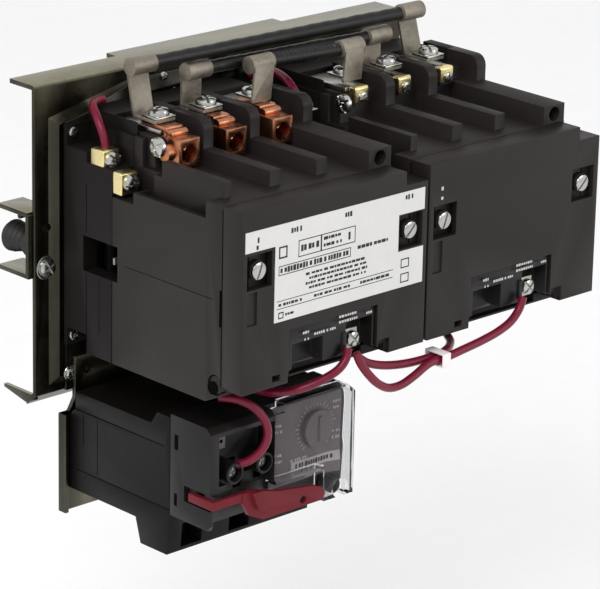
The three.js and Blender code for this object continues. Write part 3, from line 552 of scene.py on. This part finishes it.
# Bracket, sheet, foot and ear screws, and the clamp past the last pole.
screw("bracket_screw", Vector((-0.1036, -0.0238, -0.082)), FORWARD, 4.2, 30, 5.6, True)
for i, x in enumerate((-0.0405, -0.0318)):
    screw(f"sheet_screw_{i + 1}", Vector((x, -0.0282, -0.0052 - 0.0086 * i)), FORWARD, 1.9, 30 + 50 * i)
screw("foot_screw", place(3.6, 5.0, -131.8), FORWARD, 2.6, 25, 3.4, True)
for i, (u, z) in enumerate(((3.8, -20.6), (3.8, -113.4))):
    screw(f"ear_screw_{i + 1}", place(u, 6.6, z), FORWARD, 2.4, 25 + 30 * i)
screw("pole_end_screw", place(103.4, 47.2, -17.6), UPWARD, 3.4, 30, 0, True, tall=1.3)
solid_box("pole_end_clamp", "silver", 99.4, 107.2, 43.0, 51.0, -19.4, -18.6, soften=0.25)

# A screw tip in each lug's bore, and a dark disc deep in the bore as painted shade.
for i, u in enumerate(POLES):
    turned(f"lug_bore_shade_{i + 1}", "seam", [(0, 0), (4.0, 0), (4.0, 0.4), (0, 0.4)],
           place(u, 50.6, -21.8), FORWARD)
    turned(f"lug_tip_{i + 1}", "silver", [(0, 0), (1.7, 0.5), (2.3, 1.4), (2.3, 3.4), (0, 3.4)],
           place(u, 55.4, -21.4), UPWARD, 20)


# ------------------------------------------------------------------ seams, plugs and vents

def seams(name, lines, x0=LEFT_X, u=-0.05, depth=0.07):
    """Fine dark lines on a left side face: each is (d0, d1, z0, z1)."""
    bm = bmesh.new()
    for d0, d1, z0, z1 in lines:
        box_into(bm, u, u + depth, d0, d1, z0, z1, x0)
    return make_object(name, bm, "seam")


for side, x0 in (("left", LEFT_X), ("right", RIGHT_X)):
    seams(f"{side}_side_seams", [
        (19.9, 20.2, -116.6, -81.0), (19.9, 20.2, -62.4, -40.0), (46.0, 102.0, -71.2, -70.95),
        (28.5, 28.8, -106.2, -81.0), (106.4, 107.5, -82.2, -66.0), (37.0, 37.35, -116.8, -81.0),
        (107.7, 108.2, -108.6, -31.0),
    ], x0)
    solid_box(f"{side}_window_stop", "steel", 2.6, 5.4, 34.6, 36.0, -73.6, -70.4, x0, 0.3)
    turned(f"{side}_side_plug", "seam", [(0, -0.3), (2.9, -0.3), (2.9, 0.05), (0, 0.05)],
           place(0, 102.6, -110.4, x0), LEFTWARD)

seams("relay_side_seams", [(14.4, 14.7, -163.0, -148.4), (24.0, 24.25, -174.6, -148.4)], LEFT_X, 2.95)
# The relay's side vents are flat dark patches: painted shade for the openings.
seams("relay_side_vent_shade", [(75.6, 78.0, -146.6, -139.8), (75.6, 77.4, -172.6, -167.0)], LEFT_X, 2.95)

# A small tile in the corner of the relay, its setting hole drawn as a flat dark disc of painted shade.
solid_box("relay_tile", "panel", 15.4, 20.4, 88.0, 88.9, -146.4, -139.4, soften=0.25)
turned("relay_tile_hole_shade", "seam", [(0, 0), (0.9, 0), (0.9, 0.06), (0, 0.06)],
       place(17.9, 88.9, -142.9), FORWARD, 16)


# ------------------------------------------------------------------ jumper sleeves

def sleeve(name, start, end, radius=2.95):
    direction = (end - start).normalized()
    length = (end - start).length * 1000
    profile = [(0, 0), (radius - 0.5, 0), (radius, 0.4)]
    steps = 60
    for i in range(1, steps):
        h = length * i / steps
        profile.append((radius + 0.10 * math.sin(1.7 * i) + 0.06 * math.sin(0.6 * i + radius), h))
    profile += [(radius, length - 0.4), (radius - 0.5, length), (0, length)]
    return turned(name, "sleeve", profile, start, direction, 28)


JUMPERS = (
    ("line_jumper_1", POLES[0] - 4.3, 12.4, UNIT_PITCH + POLES[2] - 6.0, 10.6, 33.3),
    ("line_jumper_2", POLES[1] + 0.2, 4.8, UNIT_PITCH + POLES[1], 2.7, 33.3),
    ("line_jumper_3", POLES[2] + 1.9, 4.9, UNIT_PITCH + POLES[0] + 1.3, 3.1, 42.3),
)
for name, u0, z0, u1, z1, depth in JUMPERS:
    sleeve(name + "_sleeve", place(u0 + 6.7, depth, z0), place(u1 - 6.7, depth, z1))


# ------------------------------------------------------------------ printed label and marks

def printed(name, material, shapes, depth, x0=LEFT_X, thickness=0.03, body="frame"):
    """Thin printed patches on a front face: each shape is a list of (u, z) corners."""
    bm = bmesh.new()
    for corners in shapes:
        front = [bm.verts.new(place(u, depth + thickness, z, x0)) for u, z in corners]
        face = bm.faces.new(front)
        rear = bmesh.ops.extrude_face_region(bm, geom=[face])
        moved = [v for v in rear["geom"] if isinstance(v, bmesh.types.BMVert)]
        bmesh.ops.translate(bm, verts=moved, vec=(0, thickness / 1000, 0))
    return make_object(name, bm, material, body)


def bar(u0, u1, z0, z1):
    return [(u0, z0), (u1, z0), (u1, z1), (u0, z1)]


def frame_lines(u0, u1, z0, z1, width=0.45):
    return [bar(u0, u1, z1 - width, z1), bar(u0, u1, z0, z0 + width),
            bar(u0, u0 + width, z0, z1), bar(u1 - width, u1, z0, z1)]


def text_rows(u0, u1, z, height, seed, least=0.7, most=2.6):
    """A row of short generic strokes standing for print, with word gaps."""
    chooser = random.Random(seed)
    rows, u = [], u0
    while u < u1 - least:
        width = min(chooser.uniform(least, most), u1 - u)
        stroke = height * chooser.uniform(0.72, 1.0)
        rows.append(bar(u, u + width, z - stroke / 2, z + stroke / 2))
        u += width + chooser.choice((0.35, 0.35, 0.4, 1.1))
    return rows


LABEL_DEPTH = COVER_FRONT + 0.36
ink = []
ink += frame_lines(20.4, 25.2, -53.2, -47.9, 0.7)
ink += frame_lines(31.5, 44.6, -54.6, -47.2, 0.4)
ink += frame_lines(44.6, 64.5, -54.6, -47.2, 0.4)
ink += text_rows(33, 43.4, -50.9, 3.0, 1, 1.2, 2.2)
ink += text_rows(46.0, 56.5, -49.3, 1.5, 2)
ink += text_rows(46.0, 56.5, -52.3, 1.5, 3)
ink += [bar(60.4, 61.6, -52.8, -49.4)]
ink += frame_lines(20.4, 62, -60.6, -56.4, 0.35)
ink += text_rows(21.4, 60.8, -58.5, 2.6, 4, 1.0, 1.8)
ink += text_rows(66, 84, -57.4, 1.6, 5)
for row in range(4):
    ink += text_rows(36 + 2 * (row % 2), 72, -63.0 - 2.1 * row, 1.2, 6 + row)
ink += [bar(19.6, 87.5, -72.0, -71.7)]
ink += text_rows(20.6, 34, -73.6, 1.3, 11)
ink += text_rows(41, 62, -73.6, 1.3, 12)
ink += text_rows(68, 86, -73.6, 1.3, 13)
ink += [bar(19.6, 87.5, -75.4, -75.1)]
ink += frame_lines(20.6, 23.6, -79.7, -76.8, 0.5)
ink += text_rows(24.6, 31, -78.3, 1.3, 14)
for u, width in ((8.2, 1.3), (27.2, 5.2), (58.2, 3.8), (94.0, 3.8)):
    ink += text_rows(u, u + width + 0.8, -42.6 + 0.02 * u, 2.4, int(u), 0.9, 1.3)
ink += text_rows(7.6, 9.2, -45.6, 2.0, 21, 1.2, 1.4)
ink += frame_lines(92.2, 97.2, -72.4, -68.2, 0.5)
ink += frame_lines(92.2, 97.2, -79.0, -74.8, 0.5)
printed("label_ink", "ink", ink, LABEL_DEPTH)

for side, x0 in (("left", LEFT_X), ("right", RIGHT_X)):
    marks = []
    for row in range(2):
        marks += text_rows(35.4 + row, 39.8, -89.2 - 3.1 * row, 1.3, 30 + row, 0.7, 1.2)
        marks += text_rows(56.5, 67.5, -86.7 - 2.4 * row, 1.2, 34 + row, 0.7, 1.4)
    marks += text_rows(42, 55.5, -91.0, 1.2, 38, 0.7, 1.4)
    marks += text_rows(72.6, 77, -88.4, 1.2, 39, 0.7, 1.2)
    if side == "right":
        marks += text_rows(7.0, 8.6, -41.2, 1.7, 40, 1.2, 1.4)
        marks += text_rows(7.0, 8.6, -45.6, 1.7, 41, 1.2, 1.4)
    printed(f"{side}_cover_marks", "mark", marks, COVER_FRONT - 0.01, x0)


# ------------------------------------------------------------------ overload relay face

FACE = 92.5
dial_u, dial_z = 69.5, -147.6
ticks = []
for i in range(26):
    angle = math.radians(-140 + 280 * i / 25)
    inner, outer = 9.6, 11.1 if i % 5 else 11.9
    across = Vector((math.cos(angle), -math.sin(angle))) * 0.16
    along = Vector((math.sin(angle), math.cos(angle)))
    centre = Vector((dial_u, dial_z))
    near, far = centre + along * inner, centre + along * outer
    ticks.append([tuple(near - across), tuple(near + across), tuple(far + across), tuple(far - across)])
for row, z in enumerate((-138.2, -141.0, -152.0, -155.0)):
    ticks += text_rows(79.6, 84.0, z, 1.3, 50 + row, 0.6, 1.2)
    ticks += text_rows(44.4, 50.0, z - 4.0, 1.3, 60 + row, 0.6, 1.2)
ticks += text_rows(55, 66, -160.2, 1.3, 70, 0.6, 1.4)
ticks += frame_lines(64.4, 69.4, -170.2, -166.0, 0.4)
printed("relay_face_marks", "mark", ticks, FACE)
printed("relay_face_band", "band", [[(55.5, -165.6), (55.5, -161.0), (84.2, -161.4), (84.2, -166.0)]], FACE)
printed("relay_band_marks", "ink", text_rows(58, 82, -163.5, 2.4, 80, 0.9, 1.6), FACE + 0.03)

# Terminal screws of the relay in their pockets.
for i, (u, z) in enumerate(((18.0, -155.0), (35.3, -154.4))):
    turned(f"relay_pocket_{i + 1}", "relay", [(0, -6), (4.9, -6), (4.9, 4.4), (4.4, 4.8), (3.7, 4.8),
                                            (3.7, 0.6), (0, 0.6)], place(u, 93.6, z), FORWARD)
    screw(f"relay_screw_{i + 1}", place(u, 94.6, z), FORWARD, 2.9, 20 + 60 * i, 0, True, "steel")


# ------------------------------------------------------------------ floor, light and camera

def stage_plane(name, size, location, rotation, colour):
    bm = bmesh.new()
    bmesh.ops.create_grid(bm, x_segments=1, y_segments=1, size=size / 2)
    mesh = bpy.data.meshes.new(name)
    bm.to_mesh(mesh)
    bm.free()
    mesh.materials.append(colour)
    obj = bpy.data.objects.new(name, mesh)
    obj.location = location
    obj.rotation_euler = rotation
    bpy.context.scene.collection.objects.link(obj)


pale = surface("pale_floor", (0.86, 0.86, 0.86), 0.01, 0.8, 0.02, 400, 0.02, 0.0)
stage_plane("floor", 12, (0, 0, -0.36), (0, 0, 0), pale)


def area_light(name, location, target, size, power):
    data = bpy.data.lights.new(name, "AREA")
    data.shape = "DISK"
    data.size = size
    data.energy = power
    lamp = bpy.data.objects.new(name, data)
    lamp.location = location
    direction = Vector(target) - Vector(location)
    lamp.rotation_euler = direction.to_track_quat("-Z", "Y").to_euler()
    bpy.context.scene.collection.objects.link(lamp)
    return lamp


bpy.context.scene.view_settings.view_transform = "Standard"
world = bpy.data.worlds.new("studio")
bpy.context.scene.world = world
world.use_nodes = True
world.node_tree.nodes["Background"].inputs["Color"].default_value = (1, 1, 1, 1)
world.node_tree.nodes["Background"].inputs["Strength"].default_value = 1.0

MIDDLE = (0.0, -0.08, -0.09)
area_light("key", (-1.3, -0.9, 1.2), MIDDLE, 0.8, 16)
area_light("front", (0.9, -1.6, 0.5), MIDDLE, 0.8, 5)

AZIMUTH = math.radians(-43.478)
ELEVATION = math.radians(18.745)
ROLL = math.radians(1.226)
AIM = Vector((-0.0057, -0.0814, -0.1005))
CAMERA_DISTANCE = 1.559
back = Vector((math.sin(AZIMUTH) * math.cos(ELEVATION), -math.cos(AZIMUTH) * math.cos(ELEVATION),
               math.sin(ELEVATION)))
right = Vector((math.cos(AZIMUTH), math.sin(AZIMUTH), 0))
up = back.cross(right)
right_rolled = math.cos(ROLL) * right + math.sin(ROLL) * up
up_rolled = math.cos(ROLL) * up - math.sin(ROLL) * right
camera_data = bpy.data.cameras.new("camera")
camera_data.lens = 210.0
camera_data.sensor_width = 36.0
camera_data.clip_end = 50
camera = bpy.data.objects.new("camera", camera_data)
basis = Matrix((right_rolled, up_rolled, back)).transposed().to_4x4()
camera.matrix_world = Matrix.Translation(AIM + back * CAMERA_DISTANCE) @ basis
bpy.context.scene.collection.objects.link(camera)
bpy.context.scene.camera = camera
